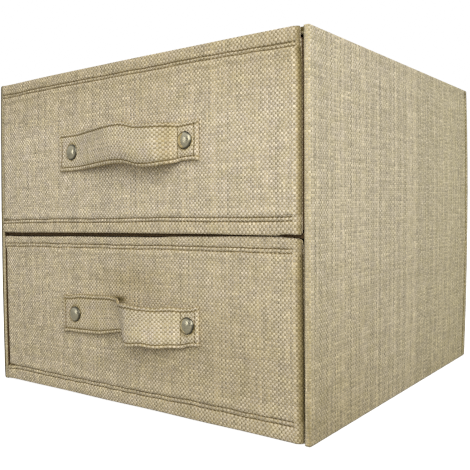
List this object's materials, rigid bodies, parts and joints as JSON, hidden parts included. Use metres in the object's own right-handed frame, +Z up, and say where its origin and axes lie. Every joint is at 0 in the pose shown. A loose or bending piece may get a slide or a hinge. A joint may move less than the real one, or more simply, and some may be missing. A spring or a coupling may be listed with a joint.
{
  "type": "fabric drawer storage box",
  "caption": "Cloth-covered board storage box with stacked sliding drawers, each pulled by a riveted cloth strap handle.",
  "frame": {"origin": "centre of the underside of the case, on the surface it stands on", "axes": "+Z up, -Y towards the drawer fronts, +X to the right seen from the front"},
  "size_m": [0.3, 0.3177, 0.25],
  "materials": {
    "linen": "beige linen-look plain weave, slubby, matt",
    "lining": "thin brown non-woven cloth with small pressed dots",
    "board": "plain grey-brown pressed board",
    "nickel": "polished nickel plate"
  },
  "bodies": {
    "case": {"case_back_board": "board", "case_back_cover": "linen", "case_back_lining": "lining", "case_bottom_board": "board", "case_bottom_cover": "linen", "case_bottom_lining": "lining", "case_left_board": "board", "case_left_cover": "linen", "case_left_lining": "lining", "case_right_board": "board", "case_right_cover": "linen", "case_right_lining": "lining", "case_shelf_board": "board", "case_shelf_cover": "lining", "case_top_board": "board", "case_top_cover": "linen", "case_top_lining": "lining"},
    "upper_drawer": {"upper_drawer_back_board": "board", "upper_drawer_bottom_board": "board", "upper_drawer_front_board": "board", "upper_drawer_front_cover": "linen", "upper_drawer_handle_strap": "linen", "upper_drawer_left_board": "board", "upper_drawer_lining": "lining", "upper_drawer_right_board": "board", "upper_drawer_rivet_caps": "nickel", "upper_drawer_rivet_posts": "nickel", "upper_drawer_rivet_washers": "nickel", "upper_drawer_sheath": "lining"},
    "lower_drawer": {"lower_drawer_back_board": "board", "lower_drawer_bottom_board": "board", "lower_drawer_front_board": "board", "lower_drawer_front_cover": "linen", "lower_drawer_handle_strap": "linen", "lower_drawer_left_board": "board", "lower_drawer_lining": "lining", "lower_drawer_right_board": "board", "lower_drawer_rivet_caps": "nickel", "lower_drawer_rivet_posts": "nickel", "lower_drawer_rivet_washers": "nickel", "lower_drawer_sheath": "lining"}
  },
  "joints": [
    {"name": "upper_drawer_slide", "type": "slide", "parent": "case", "child": "upper_drawer", "axis": [0, -1, 0], "range_m": [0, 0.3]},
    {"name": "lower_drawer_slide", "type": "slide", "parent": "case", "child": "lower_drawer", "axis": [0, -1, 0], "range_m": [0, 0.3]}
  ]
}
